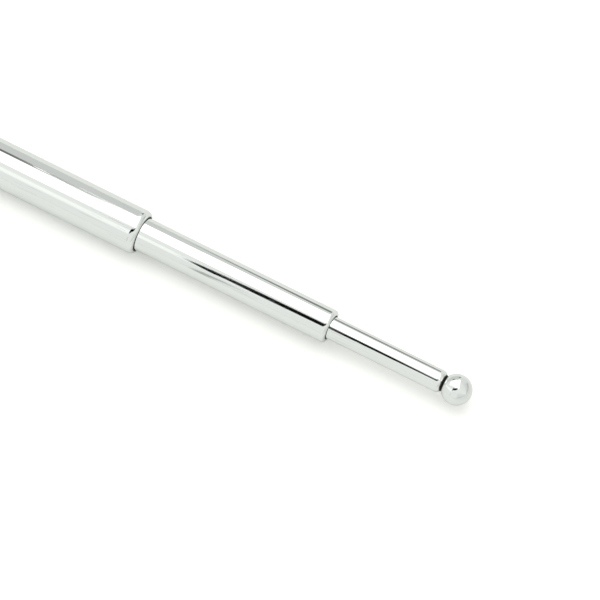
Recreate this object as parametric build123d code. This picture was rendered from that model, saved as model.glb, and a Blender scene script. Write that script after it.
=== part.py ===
from build123d import *
import math
import os

# Telescopic antenna, millimetres. It lies along +X with its tip towards +X and +Z up.
# The origin is on the axis, on the shoulder of the base fitting that the stud stands out of.

# Tubes, all drawn with the same wall
tube_wall = 0.4
outer_diameter = 8.0
middle_diameter = 6.0
tip_diameter = 4.0
outer_length = 150.0
middle_length = 134.0
tip_length = 117.5
mouth_gap = 0.15  # radial, between a rolled mouth and the tube that slides in it

# How far each inner tube stands out of the next one as stored
middle_drawn = 36.7
tip_drawn = 21.5

# Ring rolled into the outer tube's wall, which holds it on the base fitting's spigot
ring_depth = 0.25
ring_floor = 0.6
ring_setback = 2.5  # from the tube's foot
ring_slope = 45.0

# Stems and spigot inside the tubes
held_gap = 0.02  # radial, between a tube and the turned piece that it holds
stem_chamfer = 0.3

# Ball at the tip, turned in one piece with its neck and stem
ball_diameter = 5.4
ball_shoulder_diameter = 3.3  # flat ring where the ball meets the neck
neck_diameter = 2.9
neck_length = 0.4
ball_stem_length = 8.0

# Foot plug: two collars that run in the next tube's bore, a waist between them and a stem
collar_gap = 0.05
collar_width = 1.0
collar_chamfer = 0.2
waist_depth = 0.7
waist_length = 6.0
plug_stem_length = 5.0

# Contact leaves: a pair of bowed spring half-rings round each waist, slotted into fingers
leaf_thickness = 0.15
leaf_crest_gap = 0.03
leaf_seat_gap = 0.02
leaf_end_gap = 0.2
leaf_foot = 0.5
leaf_crest_length = 1.2
leaf_sweep = 160.0
leaf_end_band = 0.4
slot_width = 0.35
slot_count = 2

# Base fitting: threaded stud, hexagon and spigot, turned from one bar
hex_across_flats = 8.0
hex_length = 6.0
hex_chamfer_angle = 30.0
spigot_past_ring = 5.5
stud_diameter = 5.0
stud_length = 8.0
stud_chamfer = 0.6

# Places and sizes that follow
outer_bore = outer_diameter / 2 - tube_wall
middle_bore = middle_diameter / 2 - tube_wall
tip_bore = tip_diameter / 2 - tube_wall
ring_run = ring_depth / math.tan(math.radians(ring_slope))
ring_length = ring_floor + 2 * ring_run
plug_head_length = 2 * collar_width + waist_length
outer_foot = hex_length
outer_mouth = outer_foot + outer_length
middle_mouth = outer_mouth + middle_drawn
middle_foot = middle_mouth - middle_length
tip_end = middle_mouth + tip_drawn
tip_foot = tip_end - tip_length


def ring_corners(foot, wall_middle, below):
    """Corners of the ring's dip, on the surface that lies below the middle of the tube's wall."""
    shift = below * math.tan(math.radians(ring_slope / 2))
    level = wall_middle - below
    start = foot + ring_setback
    end = start + ring_length
    return [
        (start - shift, level),
        (start + ring_run - shift, level - ring_depth),
        (end - ring_run + shift, level - ring_depth),
        (end + shift, level),
    ]


def tube(foot, mouth, diameter, throat, ringed=False):
    """A drawn tube, its mouth rolled in by a quarter turn to the throat, with or without the ring."""
    outside = diameter / 2
    bore = outside - tube_wall
    lip = outside - throat
    wall_middle = outside - tube_wall / 2
    ring_outside = ring_corners(foot, wall_middle, -tube_wall / 2) if ringed else []
    ring_inside = ring_corners(foot, wall_middle, tube_wall / 2) if ringed else []
    with BuildPart() as piece:
        with BuildSketch(Plane.XY):
            with BuildLine():
                skin = Polyline((foot, outside), *ring_outside, (mouth - lip, outside))
                roll = JernArc(skin @ 1, (1, 0), lip, -90)
                Polyline(
                    roll @ 1,
                    (mouth - tube_wall, throat),
                    (mouth - lip, bore),
                    *reversed(ring_inside),
                    (foot, bore),
                    skin @ 0,
                )
            make_face()
        revolve(axis=Axis.X)
    return piece.part


def turned(corners):
    """A solid turned from its outline, given as the corners from one point on the axis to another."""
    with BuildPart() as piece:
        with BuildSketch(Plane.XY):
            with BuildLine():
                Polyline(*corners, close=True)
            make_face()
        revolve(axis=Axis.X)
    return piece.part


def stem_end(end, radius):
    """Corners of a stem's chamfered far end, down to the axis."""
    return [(end - stem_chamfer, radius), (end, radius - stem_chamfer), (end, 0)]


def foot_plug(foot, bore, next_bore):
    """Brass plug pressed into a tube's foot: collars and waist outside the tube, stem inside it."""
    collar = next_bore - collar_gap
    waist = collar - waist_depth
    stem = bore - held_gap
    low = foot - plug_head_length
    waist_low = low + collar_width
    waist_high = waist_low + waist_length
    return turned(
        [
            (low, 0),
            (low, collar - collar_chamfer),
            (low + collar_chamfer, collar),
            (waist_low, collar),
            (waist_low, waist),
            (waist_high, waist),
            (waist_high, collar),
            (foot - collar_chamfer, collar),
            (foot, collar - collar_chamfer),
            (foot, stem),
            *stem_end(foot + plug_stem_length, stem),
        ]
    )


def leaf_slot(centre, reach, angle):
    """Cutter for one lengthwise slot, standing out from the axis at an angle about it."""
    length = waist_length - 2 * (leaf_end_gap + leaf_end_band)
    cutter = extrude(Plane.XY * Rectangle(length, slot_width), amount=reach)
    return Pos(centre, 0, 0) * Rot(angle - 90, 0, 0) * cutter


def contact_leaf(foot, next_bore, turn):
    """Half-ring of sprung bronze, bowed from the plug's waist out to the next tube's bore."""
    seat = next_bore - collar_gap - waist_depth + leaf_seat_gap + leaf_thickness / 2
    crest = next_bore - leaf_crest_gap - leaf_thickness / 2
    centre = foot - plug_head_length / 2
    half = waist_length / 2 - leaf_end_gap
    rise_start = half - leaf_foot
    crest_half = leaf_crest_length / 2
    with BuildPart() as piece:
        with BuildSketch(Plane.XY):
            with BuildLine():
                Polyline(
                    (centre - half, seat),
                    (centre - rise_start, seat),
                    (centre - crest_half, crest),
                    (centre + crest_half, crest),
                    (centre + rise_start, seat),
                    (centre + half, seat),
                )
            trace(line_width=leaf_thickness)
        revolve(axis=Axis.X, revolution_arc=leaf_sweep)
    leaf = piece.part
    for slot in range(slot_count):
        leaf -= leaf_slot(centre, next_bore, leaf_sweep * (slot + 1) / (slot_count + 1))
    return Rot(turn + (180 - leaf_sweep) / 2, 0, 0) * leaf


def tip_ball():
    """Ball, neck and stem in one turned piece; the tube's end is rolled in over the stem's shoulder."""
    radius = ball_diameter / 2
    ring = ball_shoulder_diameter / 2
    neck = neck_diameter / 2
    stem = tip_bore - held_gap
    rolled = tip_diameter / 2 - neck
    shoulder = tip_end - rolled - held_gap
    low = shoulder - ball_stem_length
    ball_foot = tip_end + neck_length
    centre = ball_foot + math.sqrt(radius**2 - ring**2)
    with BuildPart() as piece:
        with BuildSketch(Plane.XY):
            with BuildLine():
                shaft = Polyline(
                    (low, 0),
                    (low, stem - stem_chamfer),
                    (low + stem_chamfer, stem),
                    (shoulder, stem),
                    (shoulder + stem - neck, neck),
                    (ball_foot, neck),
                    (ball_foot, ring),
                )
                ball = ThreePointArc(shaft @ 1, (centre, radius), (centre + radius, 0))
                Line(ball @ 1, shaft @ 0)
            make_face()
        revolve(axis=Axis.X)
    return piece.part


def hexagon():
    """Hexagon with one flat facing down and both ends chamfered from its inscribed circle."""
    flat = hex_across_flats / 2
    corner = flat / math.cos(math.radians(30))
    slant = (corner - flat) * math.tan(math.radians(hex_chamfer_angle))
    prism = extrude(Plane.YZ * RegularPolygon(flat, 6, major_radius=False), amount=hex_length)
    blank = turned(
        [
            (0, 0),
            (0, flat),
            (slant, corner),
            (hex_length - slant, corner),
            (hex_length, flat),
            (hex_length, 0),
        ]
    )
    return prism & blank


def base_fitting():
    """Stud, hexagon and the spigot that the outer tube's foot is rolled onto."""
    stud = stud_diameter / 2
    spigot = outer_bore - held_gap
    spigot_end = outer_foot + ring_setback + ring_length + spigot_past_ring
    core = turned(
        [
            (-stud_length, 0),
            (-stud_length, stud - stud_chamfer),
            (stud_chamfer - stud_length, stud),
            (hex_length / 2, stud),
            (hex_length / 2, spigot),
            *ring_corners(outer_foot, outer_bore + tube_wall / 2, tube_wall / 2 + held_gap),
            *stem_end(spigot_end, spigot),
        ]
    )
    return core + hexagon()


def pieces():
    """Every piece by its own name, placed as stored."""
    outer_throat = middle_diameter / 2 + mouth_gap
    middle_throat = tip_diameter / 2 + mouth_gap
    neck_throat = neck_diameter / 2 + held_gap
    made = {
        "base_fitting": base_fitting(),
        "outer_tube": tube(outer_foot, outer_mouth, outer_diameter, outer_throat, ringed=True),
        "middle_tube": tube(middle_foot, middle_mouth, middle_diameter, middle_throat),
        "middle_foot_plug": foot_plug(middle_foot, middle_bore, outer_bore),
        "tip_tube": tube(tip_foot, tip_end, tip_diameter, neck_throat),
        "tip_foot_plug": foot_plug(tip_foot, tip_bore, middle_bore),
        "tip_ball": tip_ball(),
    }
    for side, turn in (("upper", 0), ("lower", 180)):
        made[f"middle_contact_leaf_{side}"] = contact_leaf(middle_foot, outer_bore, turn)
        made[f"tip_contact_leaf_{side}"] = contact_leaf(tip_foot, middle_bore, turn)
    return made


os.makedirs("parts", exist_ok=True)
for name, shape in pieces().items():
    export_step(shape, f"parts/{name}.step")
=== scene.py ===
"""Telescopic antenna: its chromed tubes, ball and base with their finishes, on a white table."""

import math

import bpy
import numpy as np
from mathutils import Matrix, Vector


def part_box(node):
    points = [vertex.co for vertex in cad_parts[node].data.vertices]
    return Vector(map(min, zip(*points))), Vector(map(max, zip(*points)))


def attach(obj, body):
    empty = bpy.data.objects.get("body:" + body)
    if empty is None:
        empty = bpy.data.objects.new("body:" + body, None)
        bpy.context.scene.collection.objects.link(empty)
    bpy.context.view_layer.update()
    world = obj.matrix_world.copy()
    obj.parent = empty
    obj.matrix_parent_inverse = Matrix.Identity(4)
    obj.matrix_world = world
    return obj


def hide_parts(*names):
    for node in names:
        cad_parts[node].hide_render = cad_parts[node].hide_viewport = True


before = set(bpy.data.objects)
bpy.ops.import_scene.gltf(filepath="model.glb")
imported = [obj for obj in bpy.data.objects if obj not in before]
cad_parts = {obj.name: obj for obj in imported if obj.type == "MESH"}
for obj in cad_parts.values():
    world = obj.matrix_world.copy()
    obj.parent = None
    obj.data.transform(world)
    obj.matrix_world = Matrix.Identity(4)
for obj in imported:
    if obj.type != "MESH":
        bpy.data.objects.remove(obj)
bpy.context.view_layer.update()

MM = 0.001

# Sizes in millimetres, as in the solids
OUTER_RADIUS = 4.0
MIDDLE_RADIUS = 3.0
TIP_RADIUS = 2.0
TUBE_WALL = 0.4
HELD_GAP = 0.02
RING_START = 8.5
RING_DEPTH = 0.25
RING_FLOOR = 0.6
NECK_RADIUS = 1.45
NECK_LENGTH = 0.4
BALL_RADIUS = 2.7
BALL_SHOULDER = 1.65
BALL_STEM = 8.0
STEM_CHAMFER = 0.3
HEX_FLAT = 4.0
HEX_LENGTH = 6.0
STUD_RADIUS = 2.5
STUD_LENGTH = 8.0
STUD_CHAMFER = 0.6
SPIGOT_END = 15.1

# Fine forms that the solids leave out
OUTER_MOUTH_GAP = 0.12  # radial, where the solids have 0.15, as the gaps look this thin
MIDDLE_MOUTH_GAP = 0.1
THREAD_PITCH = 0.8
THREAD_DEPTH = 0.43
THREAD_RUNOUT = 0.9
THREAD_ROOT = 0.14  # width of the groove's flat root, as a share of the pitch
THREAD_FLANK = 0.33  # width of each flank, as a share of the pitch
BROKEN_EDGE = 0.05
NECK_FILLET = 0.04
STOP_BEND = 0.2
RING_BEND_INSIDE = 0.15
RING_BEND_OUTSIDE = 0.2
RING_BEND_SPIGOT = 0.1
HEX_BLEND = 0.03
POLE_RADIUS = 0.02  # of the last round of points before a pole on the axis

# Rows of points
BALL_ROWS = 110
THREAD_ROWS = 150
CHAMFER_ROWS = 14
FLAT_ROWS = 9
CHAMFER_ROWS_END = 0.45  # from the hexagon's end
FLAT_ROWS_START = 0.6
FACE_MARGIN = 0.03  # how close inside the end face's edge a row lies
SHOULDER_MARGINS = 0.04, 0.06  # the same inside both edges of the hexagon's shoulder

# Depths of the finishes' bumps, in metres
PLATE_BUMP = 0.0000008
ALLOY_BUMP = 0.0000015

# Stage, in millimetres
TABLE_REACH = 3000.0
CARD_DISTANCE = 600.0


# Shapes


def rounded(corners, roundings, steps=9):
    """Outline whose corners are rounded by arcs.

    At a corner where the line turns by an angle t, the arc of radius r starts r tan(t/2) before the
    corner and runs through the angles 0 to t: along the line by r sin, and to the turn's side by
    r (1 - cos). A rounding of 0 leaves the corner as one point. The first and last points are kept.
    """
    points = np.array(corners, float)
    radius = np.array(roundings, float)[:, None]
    ahead = np.diff(points, axis=0)
    ahead /= np.linalg.norm(ahead, axis=1)[:, None]
    before, after = ahead[:-1], ahead[1:]
    turn = np.arctan2(
        before[:, 0] * after[:, 1] - before[:, 1] * after[:, 0], (before * after).sum(axis=1)
    )[:, None]
    side = np.sign(turn)[:, :, None] * np.stack([-before[:, 1], before[:, 0]], axis=1)[:, None, :]
    swept = np.abs(turn) * np.linspace(0, 1, steps)[None, :]
    start = points[1:-1] - before * radius * np.tan(np.abs(turn) / 2)
    arcs = (
        start[:, None, :]
        + (radius * np.sin(swept))[:, :, None] * before[:, None, :]
        + (radius * (1 - np.cos(swept)))[:, :, None] * side
    )
    outline = np.concatenate([points[:1], arcs.reshape(-1, 2), points[-1:]])
    apart = np.linalg.norm(np.diff(outline, axis=0), axis=1) > 1e-7
    return outline[np.concatenate([[True], apart])]


def braced(outline, reach=0.03):
    """Outline with two more points on every long run, a short reach inside its ends.

    They keep the smooth shading of a rounded edge from spreading along the straight run next to it.
    """
    run = np.diff(outline, axis=0)
    length = np.linalg.norm(run, axis=1)[:, None]
    along = run / np.maximum(length, 1e-9)
    near = outline[:-1] + along * np.minimum(reach, length / 3)
    far = outline[1:] - along * np.minimum(reach, length / 3)
    wanted = (length > 4 * reach)[:, 0]
    rows = np.stack([outline[:-1], near, far], axis=1)
    kept = np.stack([np.ones_like(wanted), wanted, wanted], axis=1)
    return np.concatenate([rows[kept], outline[-1:]])


def turned_mesh(name, stations, radii, around, ring=False):
    """Mesh of a turned piece: the point at station x and angle a is (x, r cos a, r sin a).

    radii has one row for each station, and either one column or one for each angle. A ring joins its
    last station to its first, as a tube's section does. Otherwise both ends lie on the axis, and
    each is closed by a fan round a single point there.
    """
    radii = np.broadcast_to(radii, (len(stations), around))
    angle = np.arange(around) * 2 * np.pi / around
    x = np.broadcast_to(np.asarray(stations)[:, None], radii.shape)
    grid = np.stack([x, radii * np.cos(angle), radii * np.sin(angle)], axis=-1)
    rows = len(stations)
    index = np.arange(rows * around).reshape(rows, around)
    low = index if ring else index[:-1]
    high = np.roll(index, -1, axis=0) if ring else index[1:]
    quads = np.stack([low, np.roll(low, -1, axis=1), np.roll(high, -1, axis=1), high], axis=-1)
    points = grid.reshape(-1, 3)
    faces = quads.reshape(-1, 4).tolist()
    if not ring:
        first, last = len(points), len(points) + 1
        points = np.concatenate([points, [[stations[0], 0, 0], [stations[-1], 0, 0]]])
        near, far = index[0], index[-1]
        faces += np.stack([np.full(around, first), np.roll(near, -1), near], axis=-1).tolist()
        faces += np.stack([np.full(around, last), far, np.roll(far, -1)], axis=-1).tolist()
    mesh = bpy.data.meshes.new(name)
    mesh.from_pydata((points * MM).tolist(), [], faces)
    mesh.polygons.foreach_set("use_smooth", np.ones(len(mesh.polygons), bool))
    mesh.update()
    return mesh


def piece(mesh, body, node, finish):
    """Makes a piece of the mesh: it rides on the body, stands for the node and wears the finish."""
    made = bpy.data.objects.new(mesh.name, mesh)
    bpy.context.scene.collection.objects.link(made)
    mesh.materials.append(finish)
    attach(made, body)
    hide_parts(node)


def ring_dip(wall_middle, below):
    """Corners of the ring rolled into the outer tube's wall, on the surface below the wall's middle.

    Its slopes stand at 45 degrees, so away from the wall's middle each corner shifts along the tube
    by the tangent of half that angle, times the distance below.
    """
    shift = below * math.tan(math.radians(22.5))
    level = wall_middle - below
    end = RING_START + RING_FLOOR + 2 * RING_DEPTH
    return [
        (RING_START - shift, level),
        (RING_START + RING_DEPTH - shift, level - RING_DEPTH),
        (end - RING_DEPTH + shift, level - RING_DEPTH),
        (end + shift, level),
    ]


def rolled_mouth(mouth, outside, throat, bends):
    """Corners and roundings of a mouth's outer skin, from the straight tube to the throat's edge.

    The skin turns in more and more tightly. Each bend is its radius and the angle in degrees by which
    the skin has turned at its end, and after the last one it runs straight on to the edge at the
    mouth. The line between two bends is just as long as both need, the sum of each radius times the
    tangent of half its turn, and the corners are found back from the mouth.
    """
    radii = np.array([radius for radius, degrees in bends])
    turned = np.radians([0, *(degrees for radius, degrees in bends)])
    reach = radii * np.tan(np.diff(turned) / 2)
    between = reach[:-1] + reach[1:]
    drop = between * np.sin(turned[1:-1])
    run = between * np.cos(turned[1:-1])
    levels = outside - np.insert(np.cumsum(drop), 0, 0)
    nose = mouth - (levels[-1] - throat) / math.tan(turned[-1])
    stations = nose - np.append(np.cumsum(run[::-1])[::-1], 0)
    return [*zip(stations, levels), (mouth, throat)], radii.tolist()


def drawn_tube(name, foot, mouth, outside, throat, bends, edge, around, ringed):
    """Section of a drawn tube with its mouth rolled in, carried round the axis.

    The bends are the rolled mouth's, and the edge is the rounding of its throat. Inside, a 45 degree
    stop widens the throat back to the bore. A ringed tube has the ring near its foot, pressed in by
    the same depth outside and inside.
    """
    bore = outside - TUBE_WALL
    lip = outside - throat
    wall_middle = outside - TUBE_WALL / 2
    halfway = ((foot + mouth) / 2, outside)
    mouth_corners, mouth_bends = rolled_mouth(mouth, outside, throat, bends)
    dip_out = ring_dip(wall_middle, -TUBE_WALL / 2) if ringed else []
    dip_in = ring_dip(wall_middle, TUBE_WALL / 2)[::-1] if ringed else []
    corners = [
        halfway,
        *mouth_corners,
        (mouth - TUBE_WALL, throat),
        (mouth - lip, bore),
        *dip_in,
        (foot, bore),
        (foot, outside),
        *dip_out,
        halfway,
    ]
    roundings = [
        *mouth_bends,
        edge,
        BROKEN_EDGE,
        STOP_BEND,
        *[RING_BEND_INSIDE] * len(dip_in),
        BROKEN_EDGE,
        BROKEN_EDGE,
        *[RING_BEND_OUTSIDE] * len(dip_out),
    ]
    outline = braced(rounded(corners, roundings))[:-1]
    return turned_mesh(name, outline[:, 0], outline[:, 1][:, None], around, ring=True)


def ball_and_stem(name, tube_end, around):
    """Ball, neck and stem: the stem's outline with its corners rounded, then the ball's arc.

    The arc runs from the ball's flat shoulder at the neck to the far pole: the point at the angle u
    from that pole is at (centre + R cos u, R sin u), with u falling evenly to 0.
    """
    stem = TIP_RADIUS - TUBE_WALL - HELD_GAP
    shoulder = tube_end - (TIP_RADIUS - NECK_RADIUS) - HELD_GAP
    low = shoulder - BALL_STEM
    ball_foot = tube_end + NECK_LENGTH
    centre = ball_foot + math.sqrt(BALL_RADIUS**2 - BALL_SHOULDER**2)
    shaft = [
        (low, POLE_RADIUS),
        (low, stem - STEM_CHAMFER),
        (low + STEM_CHAMFER, stem),
        (shoulder, stem),
        (shoulder + stem - NECK_RADIUS, NECK_RADIUS),
        (ball_foot, NECK_RADIUS),
        (ball_foot, BALL_SHOULDER),
    ]
    outline = braced(rounded(shaft, [*[BROKEN_EDGE] * 4, NECK_FILLET]))
    u = np.linspace(np.pi - math.asin(BALL_SHOULDER / BALL_RADIUS), 0, BALL_ROWS)[1:-1]
    arc = np.stack([centre + BALL_RADIUS * np.cos(u), BALL_RADIUS * np.sin(u)], axis=1)
    pole = (centre + BALL_RADIUS - 1e-4, POLE_RADIUS)
    outline = np.concatenate([outline, arc, [pole]])
    return turned_mesh(name, outline[:, 0], outline[:, 1][:, None], around)


def eased(share):
    """0 below 0 and 1 above 1, with the smooth rise s s (3 - 2 s) between them."""
    share = np.clip(share, 0, 1)
    return share * share * (3 - 2 * share)


def thread_radius(x, angle):
    """Radius of the stud at station x and an angle about the axis.

    The phase is x over the pitch less the angle over a turn, so the groove winds on as a right-hand
    thread. Its flanks rise smoothly from a flat root at half a pitch to a flat crest, and its depth
    fades out over the last turn before the hexagon.
    """
    phase = (x / THREAD_PITCH - angle / (2 * np.pi)) % 1.0
    from_root = np.abs(phase - 0.5) - THREAD_ROOT / 2
    groove = 1 - eased(from_root / THREAD_FLANK)
    return STUD_RADIUS - THREAD_DEPTH * groove * eased(-x / THREAD_RUNOUT)


def hexagon_radius(x, angle, sharpness=90):
    """Radius of the hexagon: its flats, cut by the two 30 degree chamfer cones.

    A flat at the angle f gives flat / cos(angle - f). Summing the cosines' powers and taking the
    root again follows the nearest flat, and rounds the corners a little. The cones rise from the
    inscribed circle at each end by the distance from that end over tan 30. The lesser of the two is
    blended where they cross, and the end rows get back what the blend takes off there.
    """
    flats = np.radians(np.arange(30, 390, 60))
    nearest = np.maximum(np.cos(angle[..., None] - flats), 0) ** sharpness
    sides = HEX_FLAT / nearest.sum(axis=-1) ** (1 / sharpness)
    from_end = np.minimum(x, HEX_LENGTH - x)
    cone = HEX_FLAT + from_end / math.tan(math.radians(30))
    lesser = (sides + cone - np.hypot(sides - cone, HEX_BLEND)) / 2
    return lesser + HEX_BLEND / 2 * (from_end < 1e-6)


def spigot_outline():
    """Outline of the spigot, with its groove under the outer tube's ring."""
    radius = OUTER_RADIUS - TUBE_WALL - HELD_GAP
    shaft = [
        (HEX_LENGTH, radius),
        *ring_dip(OUTER_RADIUS - TUBE_WALL / 2, TUBE_WALL / 2 + HELD_GAP),
        (SPIGOT_END - STEM_CHAMFER, radius),
        (SPIGOT_END, radius - STEM_CHAMFER),
        (SPIGOT_END, POLE_RADIUS),
    ]
    return braced(rounded(shaft, [*[RING_BEND_SPIGOT] * 4, BROKEN_EDGE, BROKEN_EDGE]))


def threaded_base(name, around):
    """Stud, hexagon and spigot as one surface whose radius is a function of station and angle.

    The stud's end face and the hexagon's shoulder have a row of points close inside each of their
    edges, which keeps their shading flat; the end face's rows lie a micrometre apart or less. The
    stations are close together along the thread and along both chamfers of the hexagon.
    """
    angle = np.arange(around)[None, :] * 2 * np.pi / around
    end_radius = STUD_RADIUS - STUD_CHAMFER
    face = np.array([0, 0.0005, 0.001]) - STUD_LENGTH
    face_radii = np.array([POLE_RADIUS, end_radius - FACE_MARGIN, end_radius])
    stud = np.linspace(-STUD_LENGTH + 0.01, 0, THREAD_ROWS)[:, None]
    stud_radii = np.minimum(thread_radius(stud, angle), end_radius + stud + STUD_LENGTH)
    shoulder_radii = np.array([STUD_RADIUS, HEX_FLAT]) + (SHOULDER_MARGINS[0], -SHOULDER_MARGINS[1])
    chamfer = np.linspace(0, CHAMFER_ROWS_END, CHAMFER_ROWS)
    flat = np.linspace(FLAT_ROWS_START, HEX_LENGTH - FLAT_ROWS_START, FLAT_ROWS)
    hexagon = np.concatenate([chamfer, flat, HEX_LENGTH - chamfer[::-1]])[:, None]
    spigot = spigot_outline()
    rows = [
        (face, face_radii[:, None]),
        (stud[:, 0], stud_radii),
        (np.zeros(2), shoulder_radii[:, None]),
        (hexagon[:, 0], hexagon_radius(hexagon, angle)),
        (spigot[:, 0], spigot[:, 1][:, None]),
    ]
    stations = np.concatenate([x for x, radii in rows])
    radii = np.concatenate([np.broadcast_to(radii, (len(x), around)) for x, radii in rows])
    return turned_mesh(name, stations, radii, around)


# Finishes


class Tone:
    """A value in a node tree. Arithmetic on it adds the Math nodes."""

    def __init__(self, tree, socket):
        self.tree = tree
        self.socket = socket

    def math(self, operation, *others):
        """The Math node's result for this value and the others."""
        return self.tree.node("ShaderNodeMath", {"operation": operation}, [self, *others])

    def __add__(self, other):
        return self.math("ADD", other)

    __radd__ = __add__

    def __sub__(self, other):
        return self.math("SUBTRACT", other)

    def __rsub__(self, other):
        return self.tree.node("ShaderNodeMath", {"operation": "SUBTRACT"}, [other, self])

    def __mul__(self, other):
        return self.math("MULTIPLY", other)

    __rmul__ = __mul__

    def __truediv__(self, other):
        return self.math("DIVIDE", other)

    def __pow__(self, other):
        return self.math("POWER", other)

    def __abs__(self):
        return self.math("ABSOLUTE")

    def rise(self, low, high):
        """0 below low and 1 above high, with a smooth rise between them."""
        return self.tree.node(
            "ShaderNodeMapRange", {"interpolation_type": "SMOOTHSTEP"}, [self, low, high, 0.0, 1.0]
        )

    def within(self, low, high, soft):
        """1 between low and high, fading to 0 over the soft width round each."""
        half = soft / 2
        return self.rise(low - half, low + half) * (1 - self.rise(high - half, high + half))


class NodeTree:
    """The nodes of one finish, or of the room's light."""

    def __init__(self, owner):
        owner.use_nodes = True
        self.nodes = owner.node_tree.nodes
        self.links = owner.node_tree.links
        self.nodes.clear()

    def node(self, kind, settings=None, values=(), output=0):
        """Adds a node, sets it up, then gives its sockets their values or links; returns one output."""
        made = self.nodes.new(kind)
        for setting, value in (settings or {}).items():
            setattr(made, setting, value)
        named = values.items() if isinstance(values, dict) else enumerate(values)
        for key, value in named:
            if isinstance(value, Tone):
                self.links.new(value.socket, made.inputs[key])
            else:
                made.inputs[key].default_value = value
        return Tone(self, made.outputs[output]) if len(made.outputs) else None

    def mixed(self, share, first, second):
        """Colour that goes from the first to the second as the share rises from 0 to 1."""
        sockets = {0: share, 6: shade(first), 7: shade(second)}
        return self.node("ShaderNodeMix", {"data_type": "RGBA"}, sockets, output=2)

    def stretched(self, place, scale):
        """The place multiplied axis by axis, which stretches a pattern where the scale is small."""
        return self.node("ShaderNodeVectorMath", {"operation": "MULTIPLY"}, [place, scale])

    def components(self, place):
        """The three numbers of a place or a direction."""
        parts = self.node("ShaderNodeSeparateXYZ", {}, [place]).socket.node
        return [Tone(self, socket) for socket in parts.outputs]

    def station_and_radius(self, place):
        """How far a place lies along the antenna, and how far from its axis, in metres."""
        x, y, z = self.components(place)
        return x, (y * y + z * z) ** 0.5

    def grain(self, place, scale, detail=2.0, roughness=0.5, seed=0.0):
        """Noise from 0 to 1 whose cells are one over the scale along each axis, in metres.

        The seed moves the pattern, so that no two finishes have the same one.
        """
        shift = (seed, seed * 0.7, seed * 1.3)
        stretched = self.stretched(place, scale)
        moved = self.node("ShaderNodeVectorMath", {"operation": "ADD"}, [stretched, shift])
        sockets = {"Vector": moved, "Scale": 1.0, "Detail": detail, "Roughness": roughness}
        return self.node("ShaderNodeTexNoise", {}, sockets)


def shade(colour):
    """A colour's three numbers with full opacity, or the link as it is."""
    return colour if isinstance(colour, Tone) else (*colour, 1.0)


def new_finish(name):
    """A new material and its empty node tree."""
    made = bpy.data.materials.new(name)
    return made, NodeTree(made)


def close_finish(tree, base_colour, roughness, height, distance):
    """Metallic shader with a bump as deep as the distance, in metres, times the height."""
    bump = tree.node("ShaderNodeBump", {}, {"Strength": 1.0, "Distance": distance, "Height": height})
    sockets = {"Base Color": base_colour, "Metallic": 1.0, "Roughness": roughness, "Normal": bump}
    shader = tree.node("ShaderNodeBsdfPrincipled", {}, sockets)
    tree.node("ShaderNodeOutputMaterial", {}, {"Surface": shader})


def drawn_chrome(name, seed, mouth, throat, grime_and_shade_width):
    """Bright plate over drawn tube: draw lines along it, hairline scratches from sliding, soft haze.

    Inside the mouth the plate gives way to dark grease with painted shade for the gap, and both also
    lie on the rolled face about as far out from the throat as grime_and_shade_width.
    """
    made, tree = new_finish(name)
    place = tree.node("ShaderNodeTexCoord", output=3)
    lines = tree.grain(place, (25.0, 5200.0, 5200.0), detail=3.0, seed=seed)
    fine = tree.grain(place, (160.0, 14000.0, 14000.0), detail=1.0, seed=seed + 3)
    haze = tree.grain(place, (90.0, 260.0, 260.0), detail=4.0, roughness=0.6, seed=seed + 7)
    hair = tree.grain(place, (110.0, 6500.0, 6500.0), detail=2.0, seed=seed + 11).rise(0.61, 0.69)
    where = tree.grain(place, (60.0, 300.0, 300.0), detail=2.0, seed=seed + 13).rise(0.4, 0.62)
    scratches = hair * where
    x, radius = tree.station_and_radius(place)
    past_tube = x.rise((mouth - 1.4) * MM, (mouth - 1.2) * MM)
    face = radius.rise((throat + 0.3 * grime_and_shade_width) * MM, (throat + 1.8 * grime_and_shade_width) * MM)
    # Partly real grease, partly painted shade of the mouth's gap: dark inside the throat and on the
    # rolled face near it
    grease_and_shade = past_tube * (1 - face)
    roughness = 0.025 + 0.035 * haze.rise(0.35, 0.75) + 0.02 * lines + 0.2 * scratches + 0.5 * grease_and_shade
    tint = tree.mixed(haze, (0.79, 0.822, 0.787), (0.825, 0.856, 0.82))
    worn = tree.mixed(scratches * 0.55, tint, (0.62, 0.635, 0.63))
    colour = tree.mixed(grease_and_shade, worn, (0.012, 0.012, 0.011))
    height = lines * 0.7 + fine * 0.3 - scratches * 0.9
    close_finish(tree, colour, roughness, height, PLATE_BUMP)
    return made


def turned_chrome(name, seed, neck=None):
    """Bright plate over turned brass: faint turning rings, soft haze and tiny flecks.

    A neck, given by the two stations that it lies between, gets painted shade: dark and dull.
    """
    made, tree = new_finish(name)
    place = tree.node("ShaderNodeTexCoord", output=3)
    rings = tree.grain(place, (9000.0, 60.0, 60.0), detail=2.0, seed=seed)
    haze = tree.grain(place, (300.0, 300.0, 300.0), detail=4.0, roughness=0.6, seed=seed + 5)
    fleck = tree.grain(place, (1900.0, 1900.0, 1900.0), detail=2.0, seed=seed + 9).rise(0.74, 0.8)
    roughness = 0.03 + 0.035 * haze.rise(0.35, 0.75) + 0.02 * rings + 0.1 * fleck
    tint = tree.mixed(haze, (0.786, 0.818, 0.784), (0.822, 0.852, 0.818))
    colour = tree.mixed(fleck * 0.35, tint, (0.6, 0.6, 0.59))
    if neck:
        x, radius = tree.station_and_radius(place)
        low, high = neck
        ball = radius.rise((BALL_SHOULDER - 0.03) * MM, (BALL_SHOULDER + 0.03) * MM)
        # Painted shade: the groove between the tip tube's end and the ball is coloured dark
        dark = x.within(low * MM, high * MM, 0.03 * MM) * (1 - ball)
        colour = tree.mixed(dark, colour, (0.015, 0.015, 0.014))
        roughness = roughness + 0.4 * dark
    height = rings * 0.8 + haze * 0.3 - fleck * 0.5
    close_finish(tree, colour, roughness, height, PLATE_BUMP)
    return made


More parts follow.
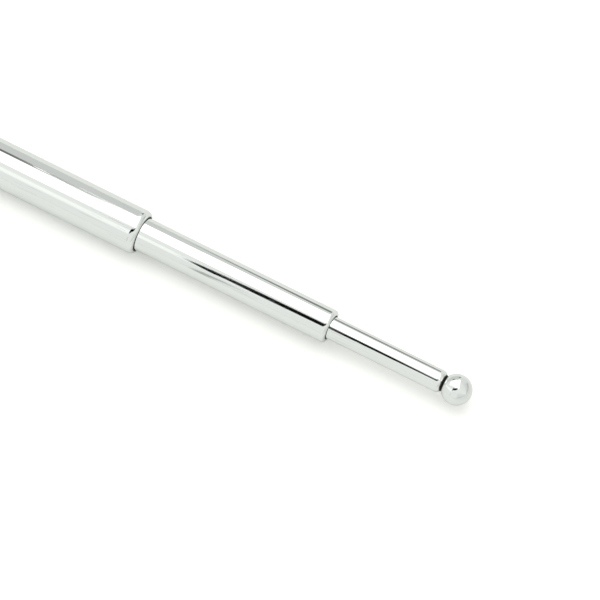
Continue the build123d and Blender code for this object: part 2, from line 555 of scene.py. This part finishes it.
def bare_alloy(name, low, high, marks_scale, smooth, seed):
    """Bare copper alloy: tool marks stretched by their scale, and patches where it has dulled.

    Its colour goes from the low one to the high one with the patches, and smooth is its roughness
    where it has neither.
    """
    made, tree = new_finish(name)
    place = tree.node("ShaderNodeTexCoord", output=3)
    marks = tree.grain(place, marks_scale, detail=3.0, seed=seed)
    dull = tree.grain(place, (420.0, 420.0, 420.0), detail=5.0, roughness=0.6, seed=seed + 4)
    colour = tree.mixed(dull.rise(0.3, 0.75), low, high)
    roughness = smooth + 0.16 * dull + 0.08 * marks
    close_finish(tree, colour, roughness, marks + dull * 0.4, ALLOY_BUMP)
    return made


plug_brass = bare_alloy(
    "plug_brass_turned",
    low=(0.70, 0.54, 0.26),
    high=(0.82, 0.67, 0.38),
    marks_scale=(7000.0, 50.0, 50.0),
    smooth=0.2,
    seed=2.1,
)
leaf_bronze = bare_alloy(
    "leaf_bronze_dulled",
    low=(0.58, 0.37, 0.2),
    high=(0.76, 0.53, 0.33),
    marks_scale=(60.0, 4000.0, 4000.0),
    smooth=0.26,
    seed=6.3,
)


# Pieces


def ends(node):
    """Stations in mm between which a node of the frame lies along the antenna."""
    return [corner.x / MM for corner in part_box(node)]


def tube_section(section, outside, throat, bends, edge, grime_and_shade_width, around, seed, ringed=False):
    """A drawn tube of the antenna with its own chrome, where the frame has its solid."""
    foot, mouth = ends(f"{section}_tube")
    piece(
        drawn_tube(f"{section}_tube_skin", foot, mouth, outside, throat, bends, edge, around, ringed),
        f"{section}_section",
        f"{section}_tube",
        drawn_chrome(f"{section}_chrome", seed, mouth, throat, grime_and_shade_width),
    )


def dress(node, finish):
    """Gives a solid that is kept from the frame its slot and its finish."""
    if not node.material_slots:
        node.data.materials.append(finish)
    for held in node.material_slots:
        held.material = finish


tip_end = ends("tip_tube")[1]
tube_section(
    "outer",
    outside=OUTER_RADIUS,
    throat=MIDDLE_RADIUS + OUTER_MOUTH_GAP,
    bends=[(8.0, 3.2), (1.6, 16), (0.76, 80)],
    edge=0.06,
    grime_and_shade_width=0.17,
    around=288,
    seed=1.7,
    ringed=True,
)
tube_section(
    "middle",
    outside=MIDDLE_RADIUS,
    throat=TIP_RADIUS + MIDDLE_MOUTH_GAP,
    bends=[(1.25, 16), (0.45, 86)],
    edge=0.08,
    grime_and_shade_width=0.14,
    around=240,
    seed=3.1,
)
tube_section(
    "tip",
    outside=TIP_RADIUS,
    throat=NECK_RADIUS + HELD_GAP,
    bends=[(1.8, 16), (0.76, 66)],
    edge=0.04,
    grime_and_shade_width=0.09,
    around=192,
    seed=5.8,
)
piece(
    ball_and_stem("tip_ball_polished", tip_end, around=192),
    "tip_section",
    "tip_ball",
    turned_chrome("ball_chrome", seed=4.2, neck=(tip_end - 0.6, tip_end + NECK_LENGTH + 0.02)),
)
piece(
    threaded_base("base_fitting_threaded", around=288),
    "outer_section",
    "base_fitting",
    turned_chrome("base_chrome", seed=8.9),
)
for node_name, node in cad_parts.items():
    if "plug" in node_name:
        dress(node, plug_brass)
    if "leaf" in node_name:
        dress(node, leaf_bronze)


# Table, room and camera


def stage_sheet(name, points, faces):
    """Sheet that belongs to the stage, from points in millimetres."""
    mesh = bpy.data.meshes.new(name)
    mesh.from_pydata((np.array(points) * MM).tolist(), [], faces)
    made = bpy.data.objects.new(name, mesh)
    bpy.context.scene.collection.objects.link(made)
    return made


def white_table():
    """White table top that keeps the antenna's soft shadow and is plain white away from it.

    The hexagon lies on it with a flat. The colour that the chrome mirrors is painted darker than the
    camera sees it, with painted shade behind the antenna and past its tip.
    """
    corners = TABLE_REACH * np.array([(-1, -1, 0), (1, -1, 0), (1, 1, 0), (-1, 1, 0)])
    table = stage_sheet("table_top", corners - (0, 0, HEX_FLAT), [(0, 1, 2, 3)])
    made, tree = new_finish("table_white")
    to_camera = tree.node("ShaderNodeLightPath", output="Is Camera Ray")
    to_gloss = tree.node("ShaderNodeLightPath", output="Is Glossy Ray")
    x, y = tree.components(tree.node("ShaderNodeTexCoord", output=3))[:2]
    # Painted shade in the colour the chrome mirrors: darker behind the antenna and past its tip
    mirrored = tree.mixed(y.rise(0.0, 0.008), (0.785, 0.79, 0.775), (0.76, 0.765, 0.75))
    mirrored = tree.mixed(x.rise(0.215, 0.235) * 0.6, mirrored, (0.64, 0.64, 0.64))
    unseen = tree.mixed(to_gloss, (0.78, 0.78, 0.775), mirrored)
    colour = tree.mixed(to_camera, unseen, (0.992, 1.0, 0.96))
    paint = tree.node("ShaderNodeBsdfDiffuse", {}, {"Color": colour})
    lift = to_camera * 0.09 + to_gloss * 0.02
    glow = tree.node("ShaderNodeEmission", {}, {"Color": (1, 1, 1, 1), "Strength": lift})
    both = tree.node("ShaderNodeAddShader", {}, [paint, glow])
    tree.node("ShaderNodeOutputMaterial", {}, {"Surface": both})
    table.data.materials.append(made)


def room_light():
    """The room round the table, as brightness by direction.

    The turn about the antenna is the angle in degrees from the near horizon over the top to the far
    one, and the lean is the angle along the antenna, above 0 towards its tip. A big soft light hangs
    overhead, with a dark clamp and a dark rail at its far edge. The walls are pale, duller on the
    far side and with a glare towards the base's side, and a faint dark line runs along the near
    horizon. Past the tip they darken towards the horizon, down to a dark skirting line.
    """
    world = bpy.data.worlds.new("room")
    bpy.context.scene.world = world
    tree = NodeTree(world)
    x, y, z = tree.components(tree.node("ShaderNodeTexCoord", output=0))
    turn = z.math("ARCTAN2", 0 - y) * math.degrees(1)
    lean = x.math("ARCSINE") * math.degrees(1)
    base_side = 1 - lean.rise(-14.0, -11.8)

    # Soft light, with two steps in its far edge and one in its near edge
    steps = lean.within(-16.6, -14.6, 0.7) * 16.5 + lean.within(-14.2, -13.4, 0.5) * 4
    far_edge = 149.5 + lean * 0.6 - steps
    near_edge = 78 - lean.within(-17.4, -14.7, 0.6) * 4
    tip_edge = 53 - turn * 0.38
    across = (turn - near_edge).rise(0, 2.8) * (1 - (turn - far_edge).rise(-1.5, 1.5))
    along = lean.rise(-58, -48) * (1 - (lean - tip_edge).rise(-3, 3))
    softbox = across * along
    clamp = turn.within(130, 143, 6) * lean.within(-44, -34, 5)
    rail = (1 - lean.rise(-14.82, -14.7)) * 0.27 + (1 - lean.rise(-16.1, -14.9)) * 0.52
    rail = rail * lean.rise(-18.4, -17.4) * turn.within(125.6, 137.4, 1.6)

    # Walls
    far_wall = turn.rise(120, 140) * (0.08 + base_side * 0.15)
    glare = turn.within(36, 54, 10) * base_side * 0.22
    near_line = turn.within(0, 3, 2) * 0.08
    past_tip = lean.rise(20, 36)
    low_down = abs(turn / 90 - 1)
    skirting = turn.within(-1, 4, 2) + turn.within(171, 181, 2) * 1.8
    wall = 0.925 + turn.within(48, 86, 10) * 0.04 + glare - far_wall - near_line
    wall = wall - past_tip * (low_down * low_down * 0.2 + skirting * 0.12)

    level = (wall * (1 - softbox) + softbox * 1.9) * (1 - clamp * 0.8) * (1 - rail)
    to_camera = tree.node("ShaderNodeLightPath", output="Is Camera Ray")
    strength = level * (1 - to_camera) + to_camera
    glow = tree.node("ShaderNodeBackground", {}, {"Color": (1, 1, 1, 1), "Strength": strength})
    tree.node("ShaderNodeOutputWorld", {}, {"Surface": glow})


def card(name, bearing, stations, heights, halves, level):
    """Card seen only in the chrome: a ribbon along a bent line, at the cards' distance from the antenna.

    It stands square to the bearing, given in degrees above the near horizon. Its middle line's height
    and its half height go with the station X along the antenna, in mm, through the known points. The
    level is its brightness.
    """
    aim = math.radians(bearing)
    out = np.array([0, -math.cos(aim), math.sin(aim)])
    up = np.array([0, math.sin(aim), math.cos(aim)])
    x = np.linspace(stations[0], stations[-1], 120)
    middle = np.interp(x, stations, heights)[:, None] * up
    half = np.interp(x, stations, halves)[:, None] * up
    centre = x[:, None] * np.array([1, 0, 0]) + CARD_DISTANCE * out + middle
    count = len(x)
    first = np.arange(count - 1)
    faces = np.stack([first, first + 1, first + 1 + count, first + count], axis=1)
    made = stage_sheet(name, np.concatenate([centre - half, centre + half]), faces.tolist())
    finish, tree = new_finish(name)
    glow = tree.node("ShaderNodeEmission", {}, {"Color": (level, level, level, 1), "Strength": 1.0})
    tree.node("ShaderNodeOutputMaterial", {}, {"Surface": glow})
    made.data.materials.append(finish)
    made.visible_camera = False
    made.visible_diffuse = False
    made.visible_transmission = False
    made.visible_volume_scatter = False
    made.visible_shadow = False


def mirrored_cards():
    """The things that the chrome mirrors: a long black one beside the camera and two grey ones.

    One grey card stands at the far wall, and a fainter one low on the near side.
    """
    card(
        "black_card",
        bearing=56,
        stations=[18, 20, 23, 28, 34, 42, 52, 66, 80, 88, 93, 99, 104, 125, 206, 300, 345, 366, 374],
        heights=[-156, -142, -119, -86, -50, -20, 6, 30, 50, 54, 56, 58, 58, 52, 78, 146, 184, 206, 212],
        halves=[0, 52, 70, 88, 104, 112, 114, 114, 112, 104, 82, 64, 64, 80, 84, 84, 80, 66, 0],
        level=0.004,
    )
    card(
        "grey_card",
        bearing=166,
        stations=[18, 30, 46, 64, 84, 100, 112, 120],
        heights=[30, 30, 30, 30, 24, 20, 20, 20],
        halves=[0, 30, 62, 100, 94, 84, 62, 0],
        level=0.26,
    )
    card(
        "low_card",
        bearing=10,
        stations=[20, 23, 26, 32, 37],
        heights=[-150, -120, -40, 85, 120],
        halves=[0, 50, 100, 85, 0],
        level=0.45,
    )


def photo_camera():
    """Camera at the photograph's angle: a long lens above the near side, looking down on the tubes.

    It aims at a place beside the axis, given by a station and by how far that place is moved to the
    camera's right and up.
    """
    azimuth, elevation = math.radians(28.83), math.radians(64.01)
    station, shift_right, shift_up = 190.0, -2.92, 3.49
    distance = 846.5
    back = Vector(
        (
            math.sin(azimuth) * math.cos(elevation),
            -math.cos(azimuth) * math.cos(elevation),
            math.sin(elevation),
        )
    )
    right = Vector((math.cos(azimuth), math.sin(azimuth), 0))
    up = back.cross(right)
    camera = bpy.data.objects.new("camera", bpy.data.cameras.new("camera"))
    bpy.context.scene.collection.objects.link(camera)
    camera.data.sensor_width = 36.0
    camera.data.lens = 300.0
    camera.data.clip_start = 0.01
    camera.data.clip_end = 20.0
    aim = Vector((station, 0, 0)) + right * shift_right + up * shift_up
    axes = Matrix((right, up, back)).transposed().to_4x4()
    camera.matrix_world = Matrix.Translation((aim + back * distance) * MM) @ axes
    bpy.context.scene.camera = camera


white_table()
room_light()
mirrored_cards()
photo_camera()
bpy.context.scene.view_settings.view_transform = "Standard"
